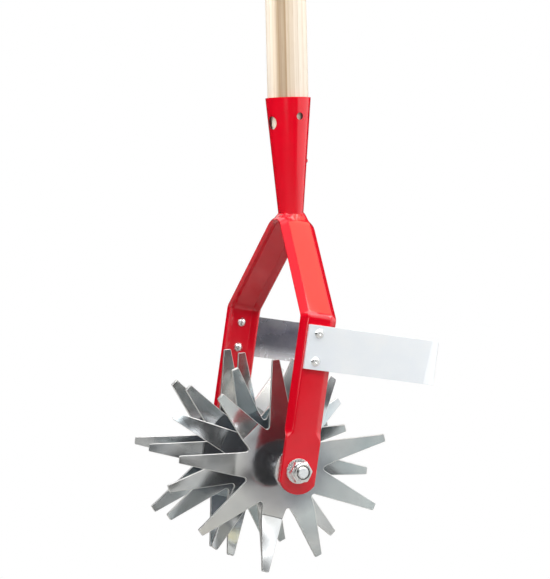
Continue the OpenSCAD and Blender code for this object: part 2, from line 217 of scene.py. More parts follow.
fibres = ramp(tree, fibre, [(0.25, (0.80, 0.74, 0.68)), (0.65, (1.0, 1.0, 1.0))])
fibred = blend(tree, 0.5, streak, fibres, "MULTIPLY")
pore = noise(tree, object_place(tree, (2600, 2600, 60)), 1.0, 1.0)
pores = ramp(tree, pore, [(0.30, (0.78, 0.70, 0.60)), (0.38, (1.0, 1.0, 1.0))])
ringed = blend(tree, 1.0, fibred, year, "MULTIPLY")
tree.links.new(blend(tree, 0.5, ringed, pores, "MULTIPLY"), shader.inputs["Base Color"])
tree.links.new(span(tree, fibre, 0.42, 0.62), shader.inputs["Roughness"])
bump(tree, shader, fibre, 0.35, 0.0002)
shader.inputs["Coat Weight"].default_value = 0.05
shader.inputs["Coat Roughness"].default_value = 0.35

profile = [(0, handle_toe),
           (handle_toe_r - toe_chamfer, handle_toe),
           (handle_toe_r, handle_toe + toe_chamfer)]
# Depths below the socket's mouth, and how much thinner the wood is there
for drop, waste in ((0.030, 0.0), (0.027, hole_relief), (0.006, hole_relief), (0.003, 0.0)):
    fitted = handle_r + (handle_toe_r - handle_r) * drop / -handle_toe
    profile.append((fitted - waste, -drop))
profile.append((handle_r, 0.0))
for k in range(1, shaft_steps + 1):
    profile.append((handle_r, handle_top * k / shaft_steps - handle_end_r * k / shaft_steps))
for k in range(1, end_steps + 1):
    turn = math.pi / 2 * k / end_steps
    profile.append((handle_r - handle_end_r * (1 - math.cos(turn)),
                    handle_top - handle_end_r * (1 - math.sin(turn))))
profile.append((0, handle_top))
handle = turned("handle_stick", profile, handle_sides)
smooth_to(handle, 35)
handle.data.materials.append(wood)
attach(handle, "frame")
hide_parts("handle")


# Socket: sheet steel rolled to a cone, with a drop of weld on its side, painted red with the fork.
# It has a screw hole and a larger side hole, through which the wood shows.
socket_ease = 0.0003
hole_slack = 0.0001
hole_facing = 0.8
# Each hole's direction in degrees, its depth below the mouth and its radius
holes = ((-78, 0.013, 0.0025), (-165, 0.017, 0.0045))


def eased(name, node, width):
    """A copy of a CAD node with its doubled points joined and its sharp edges rounded over."""
    mesh = nodes[node].data.copy()
    mesh.name = name
    shape = bmesh.new()
    shape.from_mesh(mesh)
    bmesh.ops.remove_doubles(shape, verts=shape.verts, dist=join_dist)
    bmesh.ops.dissolve_limit(shape, angle_limit=math.radians(0.3), verts=shape.verts, edges=shape.edges)
    shape.to_mesh(mesh)
    shape.free()
    mesh.materials.clear()
    if mesh.attributes.get("custom_normal"):
        mesh.attributes.remove(mesh.attributes["custom_normal"])
    piece = bpy.data.objects.new(name, mesh)
    bpy.context.scene.collection.objects.link(piece)
    smooth_to(piece, 30)
    rounding = piece.modifiers.new("rounding", "BEVEL")
    rounding.width = width
    rounding.segments = 2
    rounding.limit_method = "ANGLE"
    rounding.angle_limit = math.radians(30)
    rounding.use_clamp_overlap = True
    rounding.harden_normals = True
    return baked(piece)


def baked(piece):
    """Turns a piece's modifiers into its mesh and takes them off."""
    seen = piece.evaluated_get(bpy.context.evaluated_depsgraph_get())
    mesh = bpy.data.meshes.new_from_object(seen, preserve_all_data_layers=True,
                                           depsgraph=bpy.context.evaluated_depsgraph_get())
    piece.modifiers.clear()
    piece.data = mesh
    return piece


red_paint, tree, shader = material("red_paint", (0.62, 0.0008, 0.0125), 0.2)
peel = noise(tree, object_place(tree), 420, 2.0)
cloud = noise(tree, object_place(tree), 55, 3.0)
speck = noise(tree, object_place(tree), 2600, 1.0)
tree.links.new(ramp(tree, cloud, [(0.3, (0.60, 0.0006, 0.0115)), (0.7, (0.66, 0.0012, 0.0140))]),
               shader.inputs["Base Color"])
tree.links.new(span(tree, speck, 0.10, 0.18), shader.inputs["Roughness"])
shader.inputs["Coat Weight"].default_value = 0.3
shader.inputs["Coat Roughness"].default_value = 0.05
bump(tree, shader, peel, 0.12, 0.0003)

# Walls of the two holes: red painted near black, as painted shade inside the holes.
hole_wall_painted_shade, tree, shader = material("hole_wall_painted_shade", (0.10, 0.002, 0.006), 0.5)
hole_shade_noise = noise(tree, object_place(tree), 1900, 3.0)
tree.links.new(ramp(tree, hole_shade_noise, [(0.3, (0.05, 0.001, 0.004)), (0.7, (0.16, 0.002, 0.008))]),
               shader.inputs["Base Color"])
bump(tree, shader, hole_shade_noise, 0.3, 0.0002)

socket = eased("socket", "handle_socket", socket_ease)
socket.data.materials.append(red_paint)
socket.data.materials.append(hole_wall_painted_shade)
# Faces on the holes' walls take the painted shade.
for face in socket.data.polygons:
    for turn, drop, radius in holes:
        way = Vector((math.cos(math.radians(turn)), math.sin(math.radians(turn)), 0))
        spot = face.center + Vector((0, 0, drop))
        aside = spot - way * spot.dot(way)
        in_hole = spot.dot(way) > 0 and aside.length < radius + hole_slack
        if in_hole and face.normal.dot(aside) < -hole_facing * aside.length:
            face.material_index = 1
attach(socket, "frame")
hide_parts("handle_socket")


# Fork: one strip of sheet steel pressed to a shallow channel and bent to a fork, painted red.
# Its turned-in edges run out above the flat lugs that carry the axle.
half_span = 0.076
sheet_t = 0.003
channel_half = 0.0129
web_half = 0.0079
side_slope = math.radians(36.5)
lug_half = 0.01225
crease_r = 0.0025
inner_crease_share = 0.3
edge_r = 0.0006
lug_crease_r = 0.2 * edge_r
corner_gap = 1e-6
web_bulge = 0.00015
arm_bend_h = 0.102
arm_bend_r = 0.008
crown_r = 0.022
crown_h = 0.1675
crown_c = crown_h - crown_r
lug_end_r = 0.014
lug_drop = 0.0015
shoulder_low = 0.0195
shoulder_high = 0.0265
fork_lean = math.radians(10)
arm_shift = 0.001
axle = (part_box("axle_bolt")[0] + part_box("axle_bolt")[1]) / 2
axle.y = 0
in_fork = (Matrix.Translation(axle) @ Matrix.Rotation(fork_lean, 4, "Y")
           @ Matrix.Translation((arm_shift, 0, 0)))

slant_run = math.hypot(half_span, crown_c - arm_bend_h)
lean_in = math.asin(crown_r / slant_run)
arm_turn = math.pi / 2 - math.atan2(crown_c - arm_bend_h, half_span) - lean_in
setback = arm_bend_r * math.tan(arm_turn / 2)
arm_top = arm_bend_h - setback
slant_len = slant_run * math.cos(lean_in) - setback


def rounded(corners, steps):
    """A path through (across, depth, radius) corners, each rounded by its radius, without its two ends."""
    path = []
    for before, corner, after in zip(corners[:-2], corners[1:-1], corners[2:]):
        spot = np.array(corner[:2])
        way_in = np.array(before[:2]) - spot
        way_in = way_in / np.linalg.norm(way_in)
        way_out = np.array(after[:2]) - spot
        way_out = way_out / np.linalg.norm(way_out)
        inward = (way_in + way_out) / np.linalg.norm(way_in + way_out)
        half_turn = math.acos(way_in @ inward)
        middle = spot + inward * corner[2] / math.sin(half_turn)
        first = math.atan2(*(way_in * (way_in @ (middle - spot)) + spot - middle)[::-1])
        last = math.atan2(*(way_out * (way_out @ (middle - spot)) + spot - middle)[::-1])
        sweep = (last - first + math.pi) % (2 * math.pi) - math.pi
        for turn in first + sweep * np.linspace(0, 1, steps):
            path.append(tuple(middle + corner[2] * np.array([math.cos(turn), math.sin(turn)])))
    return path


def channel(grow):
    """Closed outline of the sheet, from the flat lug at 0 to the full channel at 1; outer face at depth 0."""
    lean = side_slope * grow
    half = lug_half + (channel_half - lug_half) * grow
    web = (lug_half - edge_r) * (1 - grow) + web_half * grow
    ease_depth = 0.5 * edge_r * (1 - grow)
    rim_depth = ease_depth + (channel_half - web_half) * math.tan(side_slope) * grow
    end_t = sheet_t - ease_depth + corner_gap
    inner_rim = (half - end_t * math.sin(lean), rim_depth + end_t * math.cos(lean))
    inner_web = web - sheet_t * math.tan(lean / 2)
    crease = lug_crease_r + (crease_r - lug_crease_r) * grow
    corners = [(0, 0, 0), (web, 0, crease), (half, rim_depth, edge_r), (*inner_rim, edge_r),
               (inner_web, sheet_t, inner_crease_share * crease), (0, sheet_t, 0)]
    bends = rounded(corners, 6)
    bulge = web_bulge * grow
    flat = np.linspace(0, 1, 7)
    right = [(share * bends[0][0], bulge * (share * share - 1)) for share in flat[:-1]] + bends
    right += [(share * bends[-1][0], sheet_t + bulge * (share * share - 1)) for share in flat[-2::-1]]
    left = [(-x, depth) for x, depth in right[-2:0:-1]]
    return np.array(right + left)


def arm_section(height):
    """The channel's outline at a height on the arm: its sides run out above the lug."""
    share = min(max((height - shoulder_low) / (shoulder_high - shoulder_low), 0.0), 1.0)
    return channel(share * share * (3 - 2 * share))


lug_top = 0.008
lug_heights = (0.012, 0.016)
arm_heights = (0.032, 0.05, 0.07, arm_top)
rows = []
plain = arm_section(0.0)
for inset, thin in ((0.0, edge_r), (0.3 * edge_r, 0.3 * edge_r), (edge_r, 0.0)):
    row = []
    for across, depth in plain:
        end = -lug_drop - math.sqrt(lug_end_r ** 2 - across ** 2) + inset
        row.append((across, -half_span + min(max(depth, thin), sheet_t - thin), end))
    rows.append(row)
for share in (0.08, 0.2, 0.4, 0.6, 0.8, 1.0):
    row = []
    for across, depth in plain:
        end = -lug_drop - math.sqrt(lug_end_r ** 2 - across ** 2) + edge_r
        row.append((across, -half_span + depth, end + (lug_top - end) * share))
    rows.append(row)
for height in [*lug_heights, *np.linspace(shoulder_low, shoulder_high, 17), *arm_heights]:
    rows.append([(across, -half_span + depth, height) for across, depth in arm_section(height)])
full = channel(1.0)
path = [((-half_span + arm_bend_r, arm_top), arm_bend_r, turn)
        for turn in np.linspace(0, arm_turn, 9)[1:]]
bend_end = np.array([-half_span + arm_bend_r - arm_bend_r * math.cos(arm_turn),
                     arm_top + arm_bend_r * math.sin(arm_turn)])
along = np.array([math.sin(arm_turn), math.cos(arm_turn)])
for share in (0.25, 0.5, 0.75):
    spot = bend_end + along * slant_len * share
    path.append((tuple(spot), 0.0, arm_turn))
path += [((0, crown_c), crown_r, turn) for turn in np.linspace(arm_turn, math.pi / 2, 11)]
for center, radius, turn in path:
    rows.append([(across,
                  center[0] - (radius - depth) * math.cos(turn),
                  center[1] + (radius - depth) * math.sin(turn)) for across, depth in full])
mirrored = [[(x, -y, z) for x, y, z in row] for row in rows[-2::-1]]
rows += mirrored
count = len(plain)
verts = [in_fork @ Vector(point) for row in rows for point in row]
faces = []
for r in range(len(rows) - 1):
    for k in range(count):
        a = r * count + k
        b = r * count + (k + 1) % count
        faces.append((a, b, b + count, a + count))
faces.append(range(count))
faces.append(range((len(rows) - 1) * count, len(rows) * count))
fork = solid_from("fork_channel", verts, faces)
smooth_to(fork, 40)
fork.data.materials.append(red_paint)
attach(fork, "frame")
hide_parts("fork")


# Weld: the bead that joins the socket's foot to the fork's crown, run out to a low uneven mound.
# It lies thicker on the side of the blade, and is painted over with the rest.
weld_in_r = 0.0080
weld_foot_r = 0.0126
weld_rise = 0.0033
weld_uneven = 0.4
weld_foot_uneven = 0.07
weld_foot_waves = 2.3
weld_fall = 1.2
weld_sink = 0.0003
weld_lump = 0.0006
weld_lump_pitch = 0.0030
weld_lump_fade = 4
weld_fine = 0.4
weld_fine_waves = 2.6
weld_root = 0.001
weld_rows = 15
weld_sides = 144


def crown_face(x, y):
    """The place on the crown's outer face over a point of the XY plane."""
    height = crown_c + crown_r
    for _ in range(8):
        across = (x - axle.x - math.sin(fork_lean) * height) / math.cos(fork_lean) - arm_shift
        depth = max(abs(across) - web_half, 0) * math.tan(side_slope)
        height = crown_c + math.sqrt((crown_r - depth) ** 2 - y ** 2)
    return in_fork @ Vector((across, y, height))


tops = []
roots = []
for share in np.linspace(0, 1, weld_rows):
    tops.append([])
    roots.append([])
    for k in range(weld_sides):
        turn = 2 * math.pi * k / weld_sides
        way = Vector((math.cos(turn), math.sin(turn), 0))
        foot = weld_foot_r * (1 + weld_foot_uneven * perlin(way * weld_foot_waves))
        reach = weld_in_r + (foot - weld_in_r) * share
        spot = crown_face(reach * way.x, reach * way.y)
        rise = weld_rise * (1 + weld_uneven * way.x)
        lump = perlin(spot / weld_lump_pitch) + weld_fine * perlin(spot / weld_lump_pitch * weld_fine_waves)
        cover = rise * (1 - share) ** weld_fall - weld_sink
        cover += weld_lump * lump * (1 - share ** weld_lump_fade)
        tops[-1].append(spot + Vector((0, 0, cover)))
        roots[-1].append(spot - Vector((0, 0, weld_root)))
rows = tops + roots[::-1]
verts = [point for row in rows for point in row]
faces = []
for r in range(len(rows)):
    below = r * weld_sides
    above = (r + 1) % len(rows) * weld_sides
    for k in range(weld_sides):
        after = (k + 1) % weld_sides
        faces.append((below + k, below + after, above + after, above + k))
weld = solid_from("weld_bead", verts, faces)
weld.data.shade_smooth()
weld.data.materials.append(red_paint)
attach(weld, "frame")
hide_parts("socket_weld")


# Weeding blade: one strip of galvanised steel bent to a U and riveted outside both arms.
# The front of the U is ground to an edge above and below, and a slanted band at the front is ground bright.
# The inner faces of the legs are painted dark as shade, with a mottle, and painted bright along their lower
# edge as a highlight.
blade_ease = 0.00025
blade_low = 0.065
blade_high = 0.095
leg_inside_y = 0.06
leg_facing = 0.5
from_fork = in_fork.inverted()
blade_front = max((from_fork @ vert.co).x for vert in nodes["weeding_blade"].data.vertices)
ground_w = 0.0109
ground_blur = 0.0004
ground_slant = 0.088
ground_start = blade_front - ground_w - ground_slant * blade_low
blade_zinc, tree, shader = material("blade_zinc", (0.90, 0.92, 0.95), 0.4, 0.3)
place = object_place(tree)
brushed = noise(tree, object_place(tree, (40, 40, 2200)), 1.0, 3.0, 0.6)
stain = noise(tree, place, 45, 4.0)
stained = ramp(tree, stain, [(0.3, (0.84, 0.89, 0.95)), (0.6, (0.88, 0.92, 0.96)),
                             (0.8, (0.92, 0.94, 0.96))])
on_blade = add(tree, "SeparateXYZ",
               i0=object_place(tree, place=from_fork.translation, turn=from_fork.to_euler()))
slanted = add(tree, "Math", {"operation": "MULTIPLY_ADD"}, i0=on_blade.outputs["Z"], i1=-ground_slant,
              i2=on_blade.outputs["X"])
ground = add(tree, "MapRange", i0=slanted.outputs[0])
ground.inputs[1].default_value = ground_start
ground.inputs[2].default_value = ground_start + ground_blur
tree.links.new(blend(tree, ground.outputs[0], stained, (0.92, 0.955, 1.0)), shader.inputs["Base Color"])
tree.links.new(span(tree, ground.outputs[0], 0.3, 0.04), shader.inputs["Metallic"])
tree.links.new(span(tree, brushed, 0.24, 0.40), shader.inputs["Roughness"])
bump(tree, shader, brushed, 0.15, 0.0001)

# Inner faces of the legs: the base colour is painted dark as shade, with a random mottle and a galvanised
# spangle.
inner_painted_shade, tree, shader = material("blade_inner_zinc", (0.6, 0.63, 0.66), 0.25, 1.0)
place = object_place(tree)
spangle = add(tree, "TexVoronoi", Vector=place, Scale=260).outputs["Color"]
spangled = add(tree, "SeparateColor", i0=spangle).outputs[0]
mottle = noise(tree, place, 70, 3.0, 0.55)
shaded_mottle = ramp(tree, mottle, [(0.35, (0.24, 0.24, 0.28)), (0.55, (0.34, 0.34, 0.38)),
                              (0.75, (0.50, 0.51, 0.55))])
spangles = ramp(tree, spangled, [(0, (0.22, 0.22, 0.26)), (1, (0.62, 0.63, 0.66))])
on_strip = object_place(tree, place=from_fork.translation, turn=from_fork.to_euler())
strip_height = add(tree, "MapRange", i0=add(tree, "SeparateXYZ", i0=on_strip).outputs["Z"])
strip_height.inputs[1].default_value = blade_low
strip_height.inputs[2].default_value = blade_high
# Painted light by height on the strip: bright along the lower edge as a highlight, dark above it as shade.
height_painted_light = ramp(tree, strip_height.outputs[0], [(0.0, (0.98, 0.98, 1.0)), (0.12, (0.86, 0.87, 0.9)),
                                             (0.38, (0.18, 0.18, 0.21)), (0.75, (0.15, 0.14, 0.18)),
                                             (1.0, (0.42, 0.42, 0.46))])
painted_shade_base = blend(tree, 0.1, shaded_mottle, spangles)
tree.links.new(blend(tree, 0.62, painted_shade_base, height_painted_light), shader.inputs["Base Color"])
# The lower edge is also made less metallic, which paints it brighter as a highlight.
lower_edge_highlight_metallic = ramp(tree, strip_height.outputs[0], [(0.0, (0.25,) * 3), (0.35, (1.0,) * 3),
                                            (0.8, (1.0,) * 3), (1.0, (0.8,) * 3)])
tree.links.new(lower_edge_highlight_metallic, shader.inputs["Metallic"])
tree.links.new(span(tree, mottle, 0.18, 0.36), shader.inputs["Roughness"])
bump(tree, shader, noise(tree, place, 70, 2.0), 0.35, 0.0006)

blade = eased("blade_strip", "weeding_blade", blade_ease)
blade.data.materials.append(blade_zinc)
blade.data.materials.append(inner_painted_shade)
# Faces on the inner sides of the legs take the painted shade.
for face in blade.data.polygons:
    from_middle = abs(face.center.y)
    if face.normal.y * face.center.y < -leg_facing * from_middle and from_middle > leg_inside_y:
        face.material_index = 1
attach(blade, "frame")
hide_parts("weeding_blade")


# Rivets: four steel rivets with domed heads on both sides, set through blade and arm.
# Zinc plated; the heads on the outside have a small pit from the setting tool.
fastener_zinc, tree, shader = material("fastener_zinc", (0.80, 0.80, 0.79), 0.22, 1.0)
place = object_place(tree)
cloud = noise(tree, place, 300, 3.0)
tree.links.new(ramp(tree, cloud, [(0.3, (0.70, 0.71, 0.72)), (0.7, (0.86, 0.86, 0.85))]),
               shader.inputs["Base Color"])
tree.links.new(span(tree, noise(tree, place, 900, 2.0), 0.18, 0.34), shader.inputs["Roughness"])
bump(tree, shader, noise(tree, place, 1500, 2.0), 0.1, 0.0002)

rivet_r = 0.002
rivet_head_r = 0.0033
rivet_head_h = 0.002
rivet_pit_r = 0.0012
rivet_pit = 0.0007
rivet_grip = 0.005
dome_steps = 18
rivet_sides = 48
rivet_heights = {"lower": 0.0719, "upper": 0.0901}
ball_r = (rivet_head_r ** 2 + rivet_head_h ** 2) / (2 * rivet_head_h)


def dome(radius, pit):
    """Height of a formed head at a radius, with a pit in its middle."""
    height = rivet_head_h - ball_r + math.sqrt(ball_r ** 2 - radius ** 2)
    return height - pit * max(1 - (radius / rivet_pit_r) ** 2, 0) ** 2


reaches = [rivet_head_r * math.sin(math.pi / 2 * k / dome_steps) for k in range(dome_steps + 1)]
profile = [(reach, -dome(reach, 0)) for reach in reaches]
profile += [(rivet_r, 0), (rivet_r, rivet_grip)]
profile += [(reach, rivet_grip + dome(reach, rivet_pit)) for reach in reaches[::-1]]
for side, side_name in ((-1, "near"), (1, "far")):
    for level, height in rivet_heights.items():
        node = f"rivet_{side_name}_{level}"
        rivet = turned(node + "_formed", profile, rivet_sides)
        rivet.data.transform(in_fork @ Matrix.Translation((0, side * (half_span - sheet_t), height))
                             @ Matrix.Rotation(-side * math.pi / 2, 4, "X"))
        smooth_to(rivet, 50)
        rivet.data.materials.append(fastener_zinc)
        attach(rivet, "frame")
        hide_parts(node)


# Axle: a zinc plated bolt through both lugs, with washers, spacer tubes and a lock nut.
# A plastic ring in the nut's collar keeps it from turning loose.
# The bolt's end is sawn, and the thrust washers' inner faces are painted dark as shade.
plated_ease = 0.0002
end_facing = 0.9
sawn_end, tree, shader = material("bolt_sawn_end", (0.82, 0.85, 0.88), 0.5, 0.4)
grain = noise(tree, object_place(tree), 2400, 3.0)
tree.links.new(ramp(tree, grain, [(0.3, (0.62, 0.66, 0.70)), (0.7, (0.92, 0.94, 0.95))]),
               shader.inputs["Base Color"])
bump(tree, shader, grain, 0.4, 0.0002)
# Dark grey for the thrust washers' inner faces, which face the stars: painted shade.
washer_painted_shade, tree, shader = material("washer_painted_shade", (0.2, 0.2, 0.2), 0.3, 1.0)
washer_shade_noise = noise(tree, object_place(tree), 350, 3.0)
tree.links.new(ramp(tree, washer_shade_noise, [(0.3, (0.14, 0.14, 0.14)), (0.7, (0.30, 0.30, 0.31))]),
               shader.inputs["Base Color"])
tree.links.new(span(tree, washer_shade_noise, 0.22, 0.42), shader.inputs["Roughness"])
for node in ("axle_bolt", "nut_washer", "lock_nut", "head_washer", "thrust_washer_near", "thrust_washer_far",
             "end_spacer_near", "spacer_1_2", "spacer_2_3", "spacer_3_4", "end_spacer_far"):
    part = eased(node + "_plated", node, plated_ease)
    part.data.materials.append(fastener_zinc)
    # On the thrust washers, the faces turned inwards take the painted shade.
    if node.startswith("thrust"):
        part.data.materials.append(washer_painted_shade)
        for face in part.data.polygons:
            if face.normal.y * face.center.y < -end_facing * abs(face.center.y):
                face.material_index = 1
    if node == "axle_bolt":
        part.data.materials.append(sawn_end)
        for face in part.data.polygons:
            if face.normal.y < -end_facing and face.center.y < -half_span:
                face.material_index = 1
    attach(part, "frame")
    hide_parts(node)

ring_nylon, tree, shader = material("ring_nylon", (0.03, 0.035, 0.04), 0.45)
grain = noise(tree, object_place(tree), 1800, 2.0)
tree.links.new(ramp(tree, grain, [(0.3, (0.022, 0.026, 0.03)), (0.7, (0.05, 0.055, 0.06))]),
               shader.inputs["Base Color"])
bump(tree, shader, grain, 0.1, 0.0001)
nodes["lock_ring"].data.materials.clear()
nodes["lock_ring"].data.materials.append(ring_nylon)


# Star wheels: stamped from zinc plated sheet, each with nine tines. Of every three tines one is flat
# and the others are bent to one side and the other. They turn freely on the axle bolt, and round
# the hub their colour is painted darker as shade.
star_t = 0.002
star_r = 0.0713
hole_r = 0.00408
notch_r = 0.028
notch_round = 0.0018
tip_w = 0.005
tines = 9
bend_start = 0.0335
bend_mid_r = 0.004
bend_angle = math.radians(19.5)
star_turns = (-26.6, -48.6, -26.9, -27.9)
star_ease = 0.0003
tip_round = 0.0006
# Rows of points on a tine: their reach before and past its bend, then the straight part's first and last
bend_before = 0.0012
bend_past = 0.0006
straight_start = 0.005
straight_end = 0.0008
columns = 8
sector = math.pi / tines

notch_c = np.array([math.cos(sector), math.sin(sector)]) * (notch_r + notch_round)
corner = np.array([star_r, tip_w / 2])
aim = corner - notch_c
touch_turn = math.atan2(aim[1], aim[0]) - math.acos(notch_round / np.linalg.norm(aim))
bottom_turn = sector + math.pi
if touch_turn < 0:
    touch_turn += 2 * math.pi
outline = []
for turn in np.linspace(bottom_turn, touch_turn, 9):
    way = np.array([math.cos(turn), math.sin(turn)])
    outline.append((notch_c + notch_round * way, -way))
touch = outline[-1][0]
edge_way = (corner - touch) / np.linalg.norm(corner - touch)
edge_normal = np.array([-edge_way[1], edge_way[0]])
bend_len = bend_mid_r * bend_angle
stations = [*np.linspace(bend_start - bend_before, bend_start + bend_len + bend_past, 8),
            *np.linspace(bend_start + straight_start, star_r - straight_end, 8)]
for x in stations:
    outline.append((touch + (corner - touch) * (x - touch[0]) / (corner[0] - touch[0]), edge_normal))
for share in np.linspace(0, 1, 4):
    normal = np.array([math.sin(share * math.pi / 2), math.cos(share * math.pi / 2)])
    outline.append((corner - tip_round + tip_round * normal, normal))

rims = [(star_ease, 1.0),
        (0.3 * star_ease, 1.0 - 0.3 * 2 * star_ease / star_t),
        (0.0, 1.0 - 2 * star_ease / star_t)]
levels = rims + [(inset, -side) for inset, side in rims[::-1]]
verts = []
faces = []
edge_faces = []


def row_across(end, bulge, height):
    """One row of the flat face, from an edge point across to its mirror image."""
    start = len(verts)
    for k in range(columns + 1):
        share = 1 - 2 * k / columns
        verts.append((end[0] + bulge * (1 - share * share), end[1] * share, height))
    return list(range(start, start + columns + 1))


for side in (1, -1):
    row_list = []
    for radius in np.linspace(hole_r, notch_r - star_ease, 9)[:-1]:
        end = radius * np.array([math.cos(sector), math.sin(sector)])
        row_list.append(row_across(end, radius - end[0], side * star_t / 2))
    reach = stations[0] - outline[0][0][0]
    for point, normal in outline:
        end = point - star_ease * normal
        left = min(max((stations[0] - end[0]) / reach, 0.0), 1.0)
        row_list.append(row_across(end, left * notch_r * (1 - math.cos(sector)), side * star_t / 2))
    for a, b in zip(row_list[:-1], row_list[1:]):
        for k in range(columns):
            faces.append((a[k], b[k], b[k + 1], a[k + 1]))
whole = outline + [(point * (1, -1), normal * (1, -1)) for point, normal in outline[::-1]]
strips = []
for inset, side in levels:
    start = len(verts)
    for point, normal in whole:
        at = point - inset * normal
        verts.append((at[0], at[1], side * star_t / 2))
    strips.append(range(start, start + len(whole)))
for a, b in zip(strips[:-1], strips[1:]):
    for k in range(len(whole) - 1):
        edge_faces.append(len(faces))
        faces.append((a[k], a[k + 1], b[k + 1], b[k]))
start = len(verts)
for turn in np.linspace(-sector, sector, columns + 1):
    for side in (1, -1):
        verts.append((hole_r * math.cos(turn), hole_r * math.sin(turn), side * star_t / 2))
for k in range(columns):
    faces.append((start + 2 * k, start + 2 * k + 1, start + 2 * k + 3, start + 2 * k + 2))

sector_mesh = bpy.data.meshes.new("tine_sector")
sector_mesh.from_pydata(verts, [], faces)
sheared = sector_mesh.attributes.new("sheared", "BOOLEAN", "FACE")
for face in edge_faces:
    sheared.data[face].value = True


def star_tree():
    """Nodes that repeat the sector round the hub and bend the tines in turn to each side."""
    made = bpy.data.node_groups.new("star_wheel", "GeometryNodeTree")
    made.is_modifier = True
    panel = made.interface
    panel.new_socket("Geometry", in_out="INPUT", socket_type="NodeSocketGeometry")
    for name, kind in (("Tines", "NodeSocketInt"), ("Bend Start", "NodeSocketFloat"),
                       ("Bend Radius", "NodeSocketFloat"), ("Bend Angle", "NodeSocketFloat"),
                       ("Turn", "NodeSocketFloat"), ("Place", "NodeSocketVector"),
                       ("Sheet", "NodeSocketMaterial"), ("Edge", "NodeSocketMaterial")):
        panel.new_socket(name, in_out="INPUT", socket_type=kind)
    panel.new_socket("Geometry", in_out="OUTPUT", socket_type="NodeSocketGeometry")
    source = made.nodes.new("NodeGroupInput").outputs

    def step(kind, settings=None, **inputs):
        return new_node(made, kind, settings, inputs)

    def math_of(operation, a, b=0.0):
        return step("ShaderNodeMath", {"operation": operation}, i0=a, i1=b).outputs[0]

    pitch = math_of("DIVIDE", 2 * math.pi, source["Tines"])
    points = step("GeometryNodePoints", Count=source["Tines"]).outputs[0]
    number = step("GeometryNodeInputIndex").outputs[0]
    spin = step("ShaderNodeCombineXYZ", Z=math_of("MULTIPLY", number, pitch)).outputs[0]
    turns = step("FunctionNodeEulerToRotation", i0=spin).outputs[0]
    placed = step("GeometryNodeInstanceOnPoints", Points=points, Instance=source["Geometry"], Rotation=turns)
    named = step("GeometryNodeStoreNamedAttribute", {"data_type": "FLOAT", "domain": "INSTANCE"},
                 Geometry=placed.outputs[0], Name="tine")
    made.links.new(number, named.inputs["Value"])
    real = step("GeometryNodeRealizeInstances", i0=named.outputs[0]).outputs[0]

    tine = step("GeometryNodeInputNamedAttribute", {"data_type": "FLOAT"}, Name="tine").outputs[0]
    angle = math_of("MULTIPLY", tine, pitch)
    spot = step("GeometryNodeInputPosition").outputs[0]
    local = step("ShaderNodeVectorRotate", {"rotation_type": "Z_AXIS"}, Vector=spot,
                 Angle=math_of("MULTIPLY", angle, -1.0)).outputs[0]
    parts = step("ShaderNodeSeparateXYZ", i0=local).outputs
    kind = math_of("MODULO", tine, 3.0)
    to_side = math_of("SUBTRACT", math_of("COMPARE", kind, 1.0), math_of("COMPARE", kind, 2.0))
    past = math_of("MAXIMUM", math_of("SUBTRACT", parts[0], source["Bend Start"]), 0.0)
    arc_len = math_of("MULTIPLY", source["Bend Radius"], source["Bend Angle"])
    in_arc = math_of("MINIMUM", past, arc_len)
    beyond = math_of("SUBTRACT", past, in_arc)
    sweep = math_of("DIVIDE", in_arc, source["Bend Radius"])
    sine = math_of("SINE", sweep)
    cosine = math_of("COSINE", sweep)
    height = math_of("MULTIPLY", parts[2], to_side)
    before = math_of("MINIMUM", parts[0], source["Bend Start"])
    run = math_of("ADD", math_of("MULTIPLY", source["Bend Radius"], sine),
                  math_of("MULTIPLY", beyond, cosine))
    run = math_of("SUBTRACT", math_of("ADD", before, run), math_of("MULTIPLY", height, sine))
    rise = math_of("MULTIPLY", source["Bend Radius"], math_of("SUBTRACT", 1.0, cosine))
    rise = math_of("ADD", rise, math_of("MULTIPLY", beyond, sine))
    rise = math_of("ADD", rise, math_of("MULTIPLY", height, cosine))
    bent = step("ShaderNodeCombineXYZ", X=run, Y=parts[1], Z=math_of("MULTIPLY", rise, to_side)).outputs[0]
    back = step("ShaderNodeVectorRotate", {"rotation_type": "Z_AXIS"}, Vector=bent, Angle=angle).outputs[0]
    is_bent = math_of("ABSOLUTE", to_side)
    shaped = step("GeometryNodeSetPosition", Geometry=real, Selection=is_bent, Position=back).outputs[0]
    joined = step("GeometryNodeMergeByDistance", Geometry=shaped, Distance=3e-6).outputs[0]
    upright = step("ShaderNodeCombineXYZ", X=math.pi / 2, Y=0.0, Z=0.0).outputs[0]
    in_plane = step("ShaderNodeCombineXYZ", X=0.0, Y=0.0, Z=source["Turn"]).outputs[0]
    turned_round = step("GeometryNodeTransform", Geometry=joined, Rotation=in_plane).outputs[0]
    stood = step("GeometryNodeTransform", Geometry=turned_round, Rotation=upright,
                 Translation=source["Place"]).outputs[0]
    sheet = step("GeometryNodeSetMaterial", Geometry=stood, Material=source["Sheet"]).outputs[0]
    cut = step("GeometryNodeInputNamedAttribute", {"data_type": "BOOLEAN"}, Name="sheared").outputs[0]
    edged = step("GeometryNodeSetMaterial", Geometry=sheet, Selection=cut, Material=source["Edge"]).outputs[0]
    step("NodeGroupOutput", i0=edged)
    return made


# Reach of the painted shade that darkens the stars' colour towards the hub.
hub_shade_r = 0.036
star_zinc, tree, shader = material("star_zinc", (0.72, 0.74, 0.75), 0.2, 0.95)
place = object_place(tree)
cloud = noise(tree, place, 28, 4.0, 0.6)
sheen = noise(tree, place, 11, 2.0)
tint = ramp(tree, sheen, [(0.32, (0.47, 0.65, 0.69)), (0.5, (0.63, 0.66, 0.68)),
                          (0.68, (0.72, 0.70, 0.62))])
clouds = ramp(tree, cloud, [(0.35, (0.46, 0.48, 0.50)), (0.65, (0.84, 0.86, 0.87))])
clouded = blend(tree, 0.5, tint, clouds)
